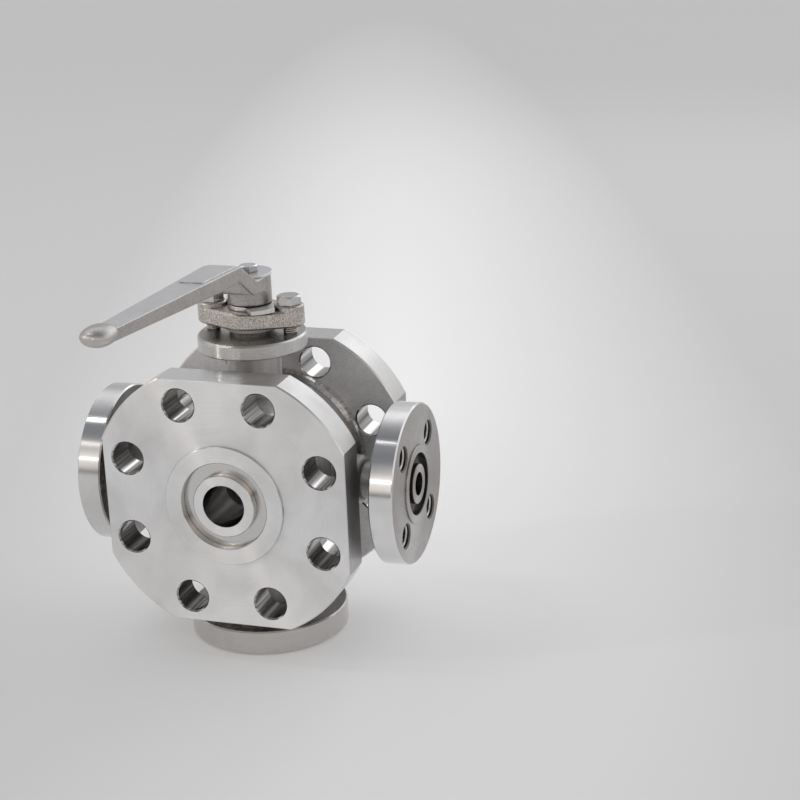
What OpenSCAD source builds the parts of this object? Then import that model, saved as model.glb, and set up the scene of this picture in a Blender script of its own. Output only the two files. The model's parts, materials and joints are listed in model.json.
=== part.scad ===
// Jacketed ball valve: small bore between oversize flanges, with a heating jacket and three jacket ports.
// Millimetres. Origin at the centre of the bottom port's face, +Z up the stem, flow along Y.
// Heights and reaches below are counted from the ball centre, which lies axis_z above the origin.

/* [Main flanges] */
// Thickness of each main flange without its raised face
flange_t = 21.3; // [18:0.1:22]
// Distance from the ball centre to the plain face of each main flange
flange_reach = 56.6; // [56:0.1:62]
// Chamfer on the round rim of the main flanges
flange_chamfer = 0.8; // [0.3:0.1:2]
// Chamfer along the milled flats
flat_chamfer = 0.5; // [0.2:0.1:1]
// Chamfer on the edges of the raised faces and their grooves
edge_break = 0.3; // [0.1:0.1:0.5]
// Number of bolt holes in each main flange
flange_bolts = 8; // [4, 8]
// Pitch circle diameter of the main flange bolt holes
flange_pcd = 127; // [125:0.5:132]
// Distance from the bolt circle to the round rim of the main flanges
rim_margin = 19; // [16:0.5:24]
// Distance from the bolt circle to the four milled flats
flat_margin = 10.5; // [9.5:0.5:14]
// Diameter of the main flange bolt holes
flange_hole_d = 19; // [14:0.5:20]
// Width of the chamfer round each main flange bolt hole
hole_chamfer = 0.8; // [0.3:0.1:1.5]
// Diameter of the raised face on each main flange
raised_od = 72; // [66:1:78]
// Height of the raised face above the plain face
raised_h = 1.6; // [0.5:0.1:3]
// Outside diameter of the sealing groove in the raised face
groove_od = 52.4; // [51:0.1:54]
// Inside diameter of the sealing groove
groove_id = 37.2; // [34:0.1:40]
// Depth of the sealing groove below the raised face
groove_depth = 5; // [3:0.1:6]

/* [Flow path] */
// Bore of the ball and of both ends
flow_bore = 25.4; // [20:0.1:26]
// Bore of the seat rings
seat_bore = 26.4; // [25.5:0.1:27]
// Diameter of the ball
ball_d = 45; // [44:0.5:46]
// Running gap between the ball and the round face of each seat
seat_gap = 0.2; // [0.1:0.05:0.3]
// Outside diameter of the seat rings
seat_od = 38; // [36:0.5:39]
// Distance from the ball centre to the back of each seat
seat_back = 25.5; // [25:0.1:26.5]
// Distance from the ball centre to the front of each seat
seat_front = 16; // [15.5:0.1:17]
// Gap all round between the ball and its chamber
chamber_gap = 1.5; // [1:0.1:1.6]
// Distance from the ball centre to the shoulder that the screwed insert seals on
shoulder_reach = 19; // [18.6:0.1:20]
// Thickness of the insert's flat gasket
gasket_t = 1.2; // [0.8:0.1:2]
// Radial clearance of pieces that are screwed or pushed home
fit_gap = 0.05; // [0.03:0.01:0.1]

/* [Jacket] */
// Outside diameter of the pressure barrel inside the jacket
barrel_od = 66; // [62:1:70]
// Outside diameter of the jacket drum
jacket_od = 103; // [100:0.5:105]
// Wall thickness of the jacket drum
jacket_wall = 5; // [4:0.5:8]
// Extra radius of the cast ring where the drum meets each flange
jacket_ring = 2; // [1:0.5:2.4]
// Length of that ring along the flow axis
jacket_ring_w = 6; // [4:0.5:10]
// Diameter of the cast boss under each jacket port at the drum
boss_base_d = 38; // [36:1:42]
// Diameter of the cast boss at its outer end
boss_d = 29; // [28:1:32]
// Distance from the flow axis to the outer end of each boss
boss_reach = 66; // [64:0.5:70]
// Rounding of the boss's outer edge
boss_round = 4; // [2:0.5:4.5]

/* [Jacket ports] */
// Outside diameter of each port flange
port_od = 95; // [90:1:98]
// Thickness of each port flange without its raised ring
port_t = 14.3; // [12:0.1:16]
// Length of the nipple pipe seen between the boss and the port flange
nipple_l = 17.2; // [14:0.1:24]
// Outside diameter of the raised ring
port_ring_od = 46; // [42:0.5:48]
// Height of the raised ring
port_ring_h = 1; // [0.5:0.1:2]
// Outside diameter of the port's sealing groove
port_groove_od = 36.5; // [34:0.1:38]
// Inside diameter of the port's sealing groove
port_groove_id = 23.8; // [20:0.1:26]
// Depth of the port's sealing groove
port_groove_depth = 5; // [3:0.1:6]
// Number of tapped holes in each port flange
port_bolts = 4; // [4]
// Pitch circle diameter of the port's tapped holes
port_pcd = 66.5; // [65:0.5:70]
// Thread diameter of the port's tapped holes
port_thread_d = 14; // [12:0.5:16]
// Width of the chamfer round each tapped hole
port_hole_chamfer = 0.8; // [0.4:0.1:1.2]
// Outside diameter of the nipple pipe
nipple_od = 21.3; // [19:0.1:22]
// Bore of the nipple pipe
nipple_bore = 15.8; // [14.5:0.1:17]
// Bore of the port flange
port_bore = 13.9; // [10:0.1:14.2]
// Depth of the nipple's socket in the boss
socket_depth = 6; // [4:0.5:8]

/* [Neck and stem] */
// Outside diameter of the neck
neck_od = 32; // [31.5:0.5:36]
// Diameter of the round pad on top of the neck
pad_od = 64; // [62:1:68]
// Height of the pad's underside above the ball centre
pad_bottom = 78.4; // [77:0.1:80]
// Thickness of the pad
pad_t = 8.9; // [7:0.1:9.5]
// Chamfer round the pad's upper edge
pad_chamfer = 1; // [0.5:0.1:2]
// Diameter of the stem
stem_d = 16; // [15:0.5:16.5]
// Running clearance round the stem, on the radius
stem_gap = 0.1; // [0.06:0.01:0.12]
// Diameter of the blow-out collar at the stem's foot
collar_d = 24; // [22:0.5:24.5]
// Thickness of the blow-out collar
collar_t = 5; // [4:0.1:6]
// Gap between the top of the ball and the collar
collar_gap = 0.5; // [0.3:0.1:1]
// Thickness of the thrust washer above the collar
thrust_t = 2; // [1:0.1:3]
// Width of the stem's tang
tang_w = 8; // [7:0.1:9]
// Length of the stem's tang
tang_l = 20; // [18:0.5:21]
// Depth of the slot in the ball
slot_depth = 5.5; // [5:0.1:6]
// Clearance on each side of the tang in its slot
tang_gap = 0.1; // [0.05:0.01:0.2]
// Section diameter of the stem's O-ring
o_ring_d = 1.9; // [1.5:0.1:2.2]
// Height of the O-ring above the ball centre
o_ring_z = 42; // [38:0.5:48]

/* [Packing and gland] */
// Diameter of the packing chamber
packing_d = 26; // [25:0.1:26.5]
// Depth of the packing chamber below the top of the pad
packing_depth = 25.3; // [24:0.1:29]
// Thickness of the support ring under the packing
support_t = 3; // [2:0.1:4]
// Number of packing rings
packing_count = 4; // [3:1:5]
// Thickness of each packing ring
packing_t = 3; // [2.5:0.1:3.2]
// Rise of the packing ring's ridge
packing_rise = 1.2; // [0.5:0.1:1.5]
// Gap between one packing ring and the next
packing_gap = 0.1; // [0.05:0.01:0.15]
// Height of the gland flange's underside above the pad
gland_lift = 5.2; // [4:0.1:7]
// Thickness of the gland flange
gland_t = 9.8; // [8:0.1:12]
// Diameter of the gland flange's round middle
gland_mid_d = 38; // [36:0.5:42]
// Diameter of the gland flange's round ends
gland_end_d = 17.4; // [17:0.1:20]
// Diameter of the gland flange's foot at its lower end
gland_foot_d = 29; // [28:0.5:34]
// Chamfer round the gland flange's upper and lower edges
gland_edge = 1.1; // [0.5:0.1:1.5]
// Height of the tapered foot under the gland flange
gland_foot_h = 2.7; // [0.5:0.1:3.5]
// Height of the raised seat under each gland bolt head
gland_seat_h = 2.7; // [2.5:0.1:4]
// Chamfer round each raised seat
gland_seat_edge = 0.8; // [0.3:0.1:1]
// Depth of the follower's socket under the gland flange
follower_socket = 4.5; // [3:0.1:6]
// Distance between the two gland bolts
gland_pitch = 48; // [46:0.5:50]
// Thread diameter of the gland bolts
gland_bolt_d = 8; // [6:0.5:8]
// Width across flats of the gland bolt heads
gland_bolt_af = 13; // [11:0.5:13]
// Height of the gland bolt heads
gland_head_h = 5.3; // [4:0.1:6]
// Share of its width across flats that a bolt head's flat top takes
head_top_share = 0.91; // [0.85:0.01:0.97]
// Clearance round each gland bolt in the gland flange
gland_hole_gap = 0.5; // [0.2:0.1:1]
// Length of the gland bolts' thread inside the pad
gland_grip = 7.8; // [5:0.1:8.5]

/* [Stop plate] */
// Thickness of the stop plate
stop_t = 2.5; // [1.5:0.1:2.5]
// Gap between the gland flange and the stop plate
stop_lift = 0.2; // [0.2:0.1:1.5]
// Diameter of the round middle of the stop plate
stop_mid_d = 25.8; // [24:0.1:29]
// Diameter over the two wings
stop_wing_d = 44; // [40:0.5:54]
// Angle of the wing's edge that meets a seat with the valve open
stop_edge_angle = 28; // [24:0.5:34]
// Angle of the wing's edge that meets a seat a quarter turn on
stop_far_angle = 45; // [38:0.5:50]
// Gap between wing and seat at the end of the travel
stop_gap = 0.3; // [0.2:0.05:0.5]

/* [Lever] */
// Diameter of the lever's hub
hub_d = 25.6; // [24.5:0.1:27.5]
// Height of the lever's hub
hub_h = 16.1; // [14:0.1:18]
// Diameter of the hub's foot on the stop plate
hub_foot_d = 21; // [19:0.5:24]
// Height of the hub's foot
hub_foot_h = 0.6; // [0.3:0.1:1.5]
// Width across the two flats on the stem's head
stem_flats = 11; // [10:0.1:12]
// Distance from the stem to the centre of the knob
lever_length = 186.9; // [150:0.1:230]
// Rise of the arm's upper face per unit of length
lever_slope = 0.043; // [0:0.001:0.08]
// Height of the arm's upper face over the hub's top, if it ran on to the stem
arm_rise = 12; // [10:0.1:14]
// Width of the arm at the stem
arm_w_root = 24.4; // [22:0.1:26]
// Width of the arm at the knob
arm_w_tip = 11.8; // [10:0.1:14]
// Depth of the arm's side at the bend of the crank
arm_h_bend = 7.8; // [7:0.1:10]
// Depth of the arm's side where the web ends
arm_h_root = 8.6; // [7:0.1:10]
// Depth of the arm's side at the knob
arm_h_tip = 6; // [5:0.1:8]
// Distance from the stem to the start of the crank's upper slope
crank_start = 16; // [15:0.5:18]
// Distance from the stem to the end of the crank's upper slope
crank_end = 36; // [34:0.5:42]
// Distance from the stem to the foot of the crank's underside
crank_foot = 20.5; // [18:0.5:24]
// Depth of the crank's side at its foot, below the hub's top
crank_depth = 7; // [6:0.1:9]
// Distance from the stem to the end of the web under the crank
web_end = 62; // [50:0.5:70]
// Step from the arm's side in to the web's side
web_inset = 0.6; // [0.3:0.1:3]
// Thickness of the plate above the lever's channel
arm_plate = 3.4; // [2.5:0.1:4]
// Thickness of the channel's side ribs
arm_rib = 2.4; // [1.8:0.1:3]
// Height of the plain raised pad on the arm
mark_h = 0.6; // [0.4:0.1:1.5]
// Length of the raised pad
mark_l = 43.5; // [30:0.5:60]
// Distance from the raised pad to the arm's edges
mark_inset = 2.5; // [1.5:0.1:4]
// Width of the knob
knob_w = 17.8; // [16:0.2:24]
// Height of the knob
knob_h = 10.6; // [9:0.1:16]
// Length of the knob
knob_l = 20.2; // [19:0.1:34]
// Fullness of the knob's outline: 1 is an ellipse, less is blunter
knob_fullness = 0.85; // [0.6:0.05:1]
// Diameter of the lever's washer
washer_d = 27; // [24:0.5:30]
// Thickness of the lever's washer
washer_t = 1.6; // [1:0.1:3]
// Thread diameter of the lever's bolt
lever_bolt_d = 6; // [5:0.5:7]
// Width across flats of the lever bolt's head
lever_bolt_af = 10; // [8:0.5:11]
// Height of the lever bolt's head
lever_head_h = 3.8; // [3:0.1:5]
// Length of the lever bolt's thread below the washer
lever_bolt_l = 14; // [10:0.5:15]
// Depth of the stem's tapped hole beyond the end of the lever bolt
drill_run = 3; // [1:0.5:5]

/* [Hidden] */
$fn = 96;
FRONT = 1;
REAR = -1;
cut = 1;
flange_od = flange_pcd + 2 * rim_margin;
flange_flats = flange_pcd + 2 * flat_margin;
flange_in = flange_reach - flange_t;
face_reach = flange_reach + raised_h;
groove_floor = face_reach - groove_depth;
bore_r = flow_bore / 2;
ball_r = ball_d / 2;
chamber_r = ball_r + chamber_gap;
seat_r = seat_od / 2;
insert_r = groove_od / 2;
insert_end = shoulder_reach + gasket_t;
jacket_r = jacket_od / 2;
ring_r = jacket_r + jacket_ring;
port_back = boss_reach + nipple_l;
port_face = port_back + port_t;
port_reach = port_face + port_ring_h;
axis_z = port_reach;
nipple_r = nipple_od / 2;
stem_r = stem_d / 2;
stem_bore_r = stem_r + stem_gap;
slot_floor = ball_r - slot_depth;
collar_z = ball_r + collar_gap;
collar_top = collar_z + collar_t;
pocket_top = collar_top + thrust_t;
pocket_r = collar_d / 2 + 0.4;
pad_top = pad_bottom + pad_t;
packing_r = packing_d / 2;
packing_floor = pad_top - packing_depth;
packing_base = packing_floor + support_t;
packing_top = packing_base + packing_count * (packing_t + packing_gap) + packing_rise;
gland_z = pad_top + gland_lift;
gland_top = gland_z + gland_t;
gland_foot_z = gland_z - gland_foot_h;
gland_end_h = gland_t + gland_seat_h;
seat_z = gland_z + gland_end_h;
gland_x = gland_pitch / 2;
gland_bolt_r = gland_bolt_d / 2;
stop_z = gland_top + stop_lift;
hub_foot_z = stop_z + stop_t;
hub_z = hub_foot_z + hub_foot_h;
hub_top = hub_z + hub_h;
stem_top = hub_top - 0.5;
flats_z = stop_z - 0.3;
washer_top = hub_top + washer_t;
lever_bolt_r = lever_bolt_d / 2;
arm_top_root = hub_top + arm_rise;
arm_end = lever_length - knob_l / 4;
knob_z = arm_top(lever_length) - arm_h_tip / 2 + 0.8;

// Height of the arm's upper face at a distance s from the stem
function arm_top(s) = arm_top_root + lever_slope * s;
// Half the arm's width at a distance s from the stem
function arm_half(s) = (arm_w_root + (arm_w_tip - arm_w_root) * s / arm_end) / 2;
// Points of an arc from angle a to angle b
function arc(x, y, r, a, b, n = 8) =
    [for (i = [0:n]) let (t = a + (b - a) * i / n) [x + r * cos(t), y + r * sin(t)]];

// Moves to the ball centre
module at_ball() {
    translate([0, 0, axis_z]) children();
}

// Turns local +Z to point out of the front or the rear end
module toward(side) {
    rotate([90 * side, 0, 0]) children();
}

// Turns local +Z to point out of a jacket port: 0 right, 1 bottom, 2 left
module toward_port(k) {
    rotate([0, 90 + 90 * k, 0]) children();
}

// Disc with both rims chamfered, standing on z = 0
module edged_disc(r, h, c) {
    rotate_extrude() polygon([[0, 0], [r - c, 0], [r, c], [r, h - c], [r - c, h], [0, h]]);
}

// Ring between two radii, standing on z = 0
module ring(r_in, r_out, h) {
    rotate_extrude() translate([r_in, 0]) square([r_out - r_in, h]);
}

// Through holes on a pitch circle, chamfered at both faces between z0 and z1
module hole_circle(count, pcd, d, z0, z1, c, start) {
    for (i = [0:count - 1]) rotate([0, 0, start + 360 / count * i]) translate([pcd / 2, 0, 0]) {
        translate([0, 0, z0 - cut]) cylinder(d = d, h = z1 - z0 + 2 * cut);
        translate([0, 0, z1 - c]) cylinder(r1 = d / 2, r2 = d / 2 + c + cut, h = c + cut);
        translate([0, 0, z0 - cut]) cylinder(r1 = d / 2 + c + cut, r2 = d / 2, h = c + cut);
    }
}

// Round bar with two flats, used for the stem's head and the holes on it
module double_d(r, flats, h) {
    intersection() {
        cylinder(r = r, h = h);
        translate([-flats / 2, -r - cut, 0]) cube([flats, 2 * (r + cut), h]);
    }
}

// Hexagon bolt head whose top corners are turned off at 30 degrees, standing on z = 0
module hex_head(af, h) {
    corner_r = af / cos(30) / 2;
    top_r = head_top_share * af / 2;
    drop = (corner_r - top_r) * tan(30);
    intersection() {
        cylinder(r = corner_r, h = h, $fn = 6);
        rotate_extrude() polygon([[0, 0], [corner_r, 0], [corner_r, h - drop], [top_r, h], [0, h]]);
    }
}

// Disc with only its upper rim chamfered, standing on z = 0
module topped_disc(r, h, c) {
    rotate_extrude() polygon([[0, 0], [r, 0], [r, h - c], [r - c, h], [0, h]]);
}

// Sealing groove to be cut into a face at height z, with both of its edges chamfered
module seal_groove(r_in, r_out, z, depth) {
    flare = edge_break + cut;
    rotate_extrude() polygon([[r_in, z - depth], [r_out, z - depth], [r_out, z - edge_break],
                              [r_out + flare, z + cut], [r_in - flare, z + cut], [r_in, z - edge_break]]);
}

// Slab between two opposite milled flats with its long edges chamfered, standing on z = 0
module flat_slab(w, h, c) {
    half = w / 2;
    rotate([90, 0, 0]) translate([0, 0, -w]) linear_extrude(2 * w)
        polygon([[c - half, 0], [half - c, 0], [half, c], [half, h - c], [half - c, h], [c - half, h],
                 [-half, h - c], [-half, c]]);
}

// Main flange blank with its raised face, pointing along +Z
module main_flange() {
    translate([0, 0, flange_in]) {
        intersection() {
            edged_disc(flange_od / 2, flange_t, flange_chamfer);
            flat_slab(flange_flats, flange_t, flat_chamfer);
            rotate([0, 0, 90]) flat_slab(flange_flats, flange_t, flat_chamfer);
        }
        topped_disc(raised_od / 2, flange_t + raised_h, edge_break);
    }
}

module valve_body() {
    color([0.72, 0.72, 0.71]) at_ball() difference() {
        union() {
            for (side = [FRONT, REAR]) toward(side) main_flange();
            toward(FRONT) translate([0, 0, -flange_in - cut])
                cylinder(d = barrel_od, h = 2 * (flange_in + cut));
            cylinder(d = neck_od, h = pad_bottom + cut);
            translate([0, 0, pad_bottom]) edged_disc(pad_od / 2, pad_t, pad_chamfer);
        }
        for (side = [FRONT, REAR]) toward(side)
            hole_circle(flange_bolts, flange_pcd, flange_hole_d, flange_in, flange_reach, hole_chamfer,
                        180 / flange_bolts);
        toward(FRONT) {
            translate([0, 0, shoulder_reach]) cylinder(r = insert_r, h = face_reach);
            seal_groove(groove_id / 2, insert_r, face_reach, groove_depth);
            translate([0, 0, -seat_front]) cylinder(r = chamber_r, h = seat_front + shoulder_reach + cut);
        }
        toward(REAR) {
            translate([0, 0, seat_front - cut])
                cylinder(r = seat_r + fit_gap, h = seat_back - seat_front + cut);
            cylinder(r = bore_r, h = face_reach + cut);
            seal_groove(groove_id / 2, insert_r, face_reach, groove_depth);
        }
        cylinder(r = pocket_r, h = pocket_top);
        cylinder(r = stem_bore_r, h = pad_top + cut);
        translate([0, 0, packing_floor]) cylinder(r = packing_r, h = pad_top);
        for (x = [-gland_x, gland_x]) translate([x, 0, pad_bottom - cut])
            cylinder(r = gland_bolt_r + fit_gap, h = pad_t + 2 * cut);
    }
}

// Cast boss under one jacket port, pointing along +Z
module port_boss() {
    base = jacket_r - jacket_wall;
    rotate_extrude() polygon(concat(
        [[0, base], [boss_base_d / 2, base], [boss_base_d / 2, jacket_r - 4]],
        [for (p = arc(boss_base_d / 2, jacket_r + 5, (boss_base_d - boss_d) / 2, 270, 180)) p],
        arc(boss_d / 2 - boss_round, boss_reach - boss_round, boss_round, 0, 90),
        [[0, boss_reach]]));
}

module jacket_shell() {
    color([0.42, 0.42, 0.42]) at_ball() difference() {
        union() {
            toward(FRONT) rotate_extrude() polygon(concat(
                [[0, -flange_in], [ring_r, -flange_in]],
                [[ring_r, jacket_ring_w - flange_in - 2], [jacket_r, jacket_ring_w - flange_in],
                 [jacket_r, flange_in - jacket_ring_w], [ring_r, flange_in - jacket_ring_w + 2]],
                [[ring_r, flange_in], [0, flange_in]]));
            for (k = [0:2]) toward_port(k) port_boss();
        }
        toward(FRONT) translate([0, 0, -flange_in - cut])
            cylinder(r = jacket_r - jacket_wall, h = 2 * (flange_in + cut));
        cylinder(r = neck_od / 2 + fit_gap, h = jacket_od);
        for (k = [0:2]) toward_port(k) {
            cylinder(d = nipple_bore, h = boss_reach + cut);
            translate([0, 0, boss_reach - socket_depth])
                cylinder(r = nipple_r + fit_gap, h = socket_depth + cut);
        }
    }
}

module body_insert() {
    color([0.76, 0.75, 0.73]) at_ball() toward(FRONT) difference() {
        union() {
            translate([0, 0, insert_end]) cylinder(r = insert_r - fit_gap, h = groove_floor - insert_end);
            translate([0, 0, insert_end]) topped_disc(groove_id / 2, face_reach - insert_end, edge_break);
        }
        cylinder(r = bore_r, h = face_reach + cut);
        cylinder(r = seat_r + fit_gap, h = seat_back);
    }
}

module insert_gasket() {
    color([0.85, 0.85, 0.82]) at_ball() toward(FRONT) translate([0, 0, shoulder_reach])
        ring(chamber_r + 0.2, insert_r - 0.1, gasket_t);
}

// Seat ring with a round face that follows the ball
module seat_ring(side) {
    at_ball() toward(side) difference() {
        translate([0, 0, seat_front]) ring(seat_bore / 2, seat_r, seat_back - seat_front);
        sphere(r = ball_r + seat_gap);
    }
}

module front_seat() {
    color([0.30, 0.30, 0.31]) seat_ring(FRONT);
}

module rear_seat() {
    color([0.30, 0.30, 0.31]) seat_ring(REAR);
}

module ball() {
    color([0.80, 0.80, 0.80]) at_ball() difference() {
        sphere(r = ball_r);
        toward(FRONT) translate([0, 0, -ball_d]) cylinder(r = bore_r, h = 2 * ball_d);
        translate([-ball_d, -tang_w / 2 - tang_gap, slot_floor])
            cube([2 * ball_d, tang_w + 2 * tang_gap, ball_d]);
    }
}

module port_nipple(k) {
    color([0.45, 0.45, 0.45]) at_ball() toward_port(k) translate([0, 0, boss_reach - socket_depth])
        ring(nipple_bore / 2, nipple_r, port_back - boss_reach + socket_depth);
}

module left_port_nipple() {
    port_nipple(2);
}

module right_port_nipple() {
    port_nipple(0);
}

module bottom_port_nipple() {
    port_nipple(1);
}

module port_flange(k) {
    color([0.74, 0.74, 0.73]) at_ball() toward_port(k) difference() {
        union() {
            translate([0, 0, port_back]) edged_disc(port_od / 2, port_t, flange_chamfer);
            translate([0, 0, port_back]) topped_disc(port_ring_od / 2, port_t + port_ring_h, edge_break);
        }
        hole_circle(port_bolts, port_pcd, port_thread_d, port_back, port_face, port_hole_chamfer,
                    180 / port_bolts);
        seal_groove(port_groove_id / 2, port_groove_od / 2, port_reach, port_groove_depth);
        cylinder(d = port_bore, h = port_reach + cut);
    }
}

module left_port_flange() {
    port_flange(2);
}

module right_port_flange() {
    port_flange(0);
}

module bottom_port_flange() {
    port_flange(1);
}

module stem() {
    color([0.70, 0.70, 0.68]) at_ball() difference() {
        union() {
            intersection() {
                cylinder(d = tang_l, h = collar_z + cut);
                translate([-tang_l, -tang_w / 2, slot_floor + 0.3]) cube([2 * tang_l, tang_w, ball_d]);
            }
            translate([0, 0, collar_z]) edged_disc(collar_d / 2, collar_t, 0.5);
            translate([0, 0, collar_z]) cylinder(r = stem_r, h = flats_z - collar_z);
            translate([0, 0, flats_z - cut]) double_d(stem_r, stem_flats, stem_top - flats_z + cut);
        }
        translate([0, 0, o_ring_z - o_ring_d / 2 - 0.2])
            ring(stem_r - o_ring_d + 0.1, stem_r + cut, o_ring_d + 0.4);
        translate([0, 0, washer_top - lever_bolt_l - drill_run])
            cylinder(r = lever_bolt_r + fit_gap, h = lever_bolt_l + drill_run);
    }
}

module stem_thrust_washer() {
    color([0.90, 0.90, 0.86]) at_ball() translate([0, 0, collar_top])
        ring(stem_bore_r, pocket_r - 0.1, thrust_t);
}

module stem_o_ring() {
    color([0.10, 0.10, 0.10]) at_ball() translate([0, 0, o_ring_z])
        rotate_extrude() translate([stem_r - o_ring_d / 2 + 0.05, 0]) circle(d = o_ring_d - 0.1);
}

module packing_support_ring() {
    color([0.65, 0.65, 0.65]) at_ball() translate([0, 0, packing_floor])
        rotate_extrude() polygon([[stem_bore_r, 0], [packing_r - fit_gap, 0],
                                  [packing_r - fit_gap, support_t],
                                  [(stem_bore_r + packing_r) / 2, support_t + packing_rise],
                                  [stem_bore_r, support_t]]);
}

module packing_rings() {
    inner = stem_bore_r;
    outer = packing_r - fit_gap;
    middle = (stem_bore_r + packing_r) / 2;
    pitch = packing_t + packing_gap;
    color([0.12, 0.12, 0.12]) at_ball()
        for (i = [0:packing_count - 1]) translate([0, 0, packing_base + packing_gap + i * pitch])
            rotate_extrude() polygon([[inner, 0], [middle, packing_rise], [outer, 0], [outer, packing_t],
                                      [middle, packing_t + packing_rise], [inner, packing_t]]);
}

module gland_follower() {
    top = gland_foot_z + follower_socket;
    color([0.25, 0.24, 0.23]) at_ball() translate([0, 0, packing_top])
        ring(stem_bore_r, packing_r - fit_gap, top - packing_top);
}

// Block on the inner side of a tangent plane at distance r from the stem, square to the direction a
module tangent_block(r, a, l) {
    deep = 2 * r;
    rotate([90, 0, a]) translate([r, 0, -l / 2]) linear_extrude(l)
        polygon([[-deep, 0], [-gland_edge, 0], [0, gland_edge], [0, gland_t - gland_edge],
                 [-gland_edge, gland_t], [-deep, gland_t]]);
}

// Round end of the gland flange with the raised seat for a bolt head
module gland_end() {
    r = gland_end_d / 2;
    rotate_extrude() polygon([[0, 0], [r - gland_edge, 0], [r, gland_edge],
                              [r, gland_end_h - gland_seat_edge], [r - gland_seat_edge, gland_end_h],
                              [0, gland_end_h]]);
}

// Foot that tapers from the underside of the gland flange down to the follower
module gland_foot() {
    r = gland_mid_d / 2 - gland_edge;
    rotate_extrude() polygon([[0, -gland_foot_h], [gland_foot_d / 2, -gland_foot_h], [r, 0],
                              [r, cut], [0, cut]]);
}

// Blank of the gland flange: a round middle joined to two round ends by flat tangent sides
module gland_blank() {
    mid_r = gland_mid_d / 2;
    end_r = gland_end_d / 2;
    a = acos((mid_r - end_r) / gland_x);
    near = mid_r * cos(a);
    far = gland_x + end_r * cos(a);
    edged_disc(mid_r, gland_t, gland_edge);
    gland_foot();
    for (turn = [0, 180]) rotate(turn) {
        translate([gland_x, 0, 0]) gland_end();
        intersection() {
            tangent_block(mid_r, a, 2 * gland_pitch);
            tangent_block(mid_r, -a, 2 * gland_pitch);
            translate([near, -mid_r, 0]) cube([far - near, 2 * mid_r, gland_t]);
        }
    }
}

module gland_flange() {
    color([0.60, 0.57, 0.54]) at_ball() difference() {
        translate([0, 0, gland_z]) gland_blank();
        translate([0, 0, gland_foot_z - cut]) cylinder(r = packing_r, h = follower_socket + cut);
        translate([0, 0, gland_foot_z]) cylinder(r = stem_bore_r + 0.4, h = gland_t + gland_foot_h + cut);
        for (x = [-gland_x, gland_x]) translate([x, 0, gland_foot_z - cut])
            cylinder(r = gland_bolt_r + gland_hole_gap, h = gland_foot_h + gland_end_h + 2 * cut);
    }
}

module gland_bolts() {
    color([0.70, 0.69, 0.67]) at_ball() for (x = [-gland_x, gland_x]) translate([x, 0, 0]) {
        translate([0, 0, seat_z]) hex_head(gland_bolt_af, gland_head_h);
        translate([0, 0, pad_top - gland_grip])
            cylinder(r = gland_bolt_r, h = seat_z - pad_top + gland_grip + cut);
    }
}

// Points of a wing's straight edge: where it passes the stem closest, and one far outside.
// The edge is a tangent to the gland bolt seat, with the stop gap left between them.
function stop_edge(a) = let (
    reach = gland_end_d / 2 + stop_gap,
    run = [sin(a), -cos(a)],
    touch = [gland_x - reach * cos(a), -reach * sin(a)]
) [touch - (touch * run) * run, touch + stop_wing_d * run];

// Mirrors a point across the diagonal half-way between the two ends of the travel
function across_diagonal(p) = [-p[1], -p[0]];

// Outline of one wing of the stop plate: one edge stops on a gland bolt seat with the valve open,
// and the other stops on the seat opposite after a quarter turn
module stop_wing() {
    open_edge = stop_edge(stop_edge_angle);
    far_edge = [for (p = stop_edge(stop_far_angle)) across_diagonal(p)];
    intersection() {
        circle(d = stop_wing_d);
        polygon([[0, 0], open_edge[0], open_edge[1], far_edge[1], far_edge[0]]);
    }
}

module stop_plate() {
    color([0.75, 0.74, 0.72]) at_ball() translate([0, 0, stop_z]) difference() {
        linear_extrude(stop_t) {
            circle(d = stop_mid_d);
            for (a = [0, 180]) rotate(a) stop_wing();
        }
        translate([0, 0, -cut]) double_d(stem_r + fit_gap, stem_flats + 2 * fit_gap, stop_t + 2 * cut);
    }
}

// Extrudes an outline drawn as distance from the stem and height, across the lever's width
module across_lever(w) {
    rotate([90, 0, -90]) translate([0, 0, -w / 2]) linear_extrude(w) children();
}

// Side view of the arm and its crank
module arm_side() {
    bend = crank_end + 2.5;
    polygon([[0, hub_top], [crank_start, hub_top], [crank_end, arm_top(crank_end)],
             [arm_end, arm_top(arm_end)], [arm_end, arm_top(arm_end) - arm_h_tip],
             [web_end, arm_top(web_end) - arm_h_root], [bend, arm_top(bend) - arm_h_bend],
             [crank_foot, hub_top - crank_depth], [0, hub_top - crank_depth - 2]]);
}

// Side view of the web between the crank, the hub and the underside of the arm
module web_side() {
    polygon([[0, hub_top - 4], [crank_start, hub_top - 4], [crank_end, arm_top(crank_end) - 4],
             [web_end, arm_top(web_end) - 4], [web_end, arm_top(web_end) - arm_h_root],
             [crank_foot, hub_top - crank_depth], [0, hub_top - crank_depth - 2]]);
}

// Side view of the plain raised pad on the arm
module mark_side() {
    ends = [crank_end, crank_end + mark_l];
    polygon([[ends[0], arm_top(ends[0]) - 1], [ends[1], arm_top(ends[1]) - 1],
             [ends[1], arm_top(ends[1]) + mark_h], [ends[0], arm_top(ends[0]) + mark_h]]);
}

// Side view of the channel under the arm
module channel_side() {
    start = web_end - 2;
    end = arm_end - 14;
    polygon([[start, 0], [end, 0], [end, arm_top(end) - arm_plate], [start, arm_top(start) - arm_plate]]);
}

// Keeps a side view of the arm within its tapering width, less an inset on both sides
module in_arm_width(inset) {
    root = arm_half(0) - inset;
    tip = arm_half(arm_end) - inset;
    intersection() {
        across_lever(arm_w_root + 2) children();
        linear_extrude(hub_top * 2) polygon([[-root, 0], [-tip, -arm_end], [tip, -arm_end], [root, 0]]);
    }
}

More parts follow.
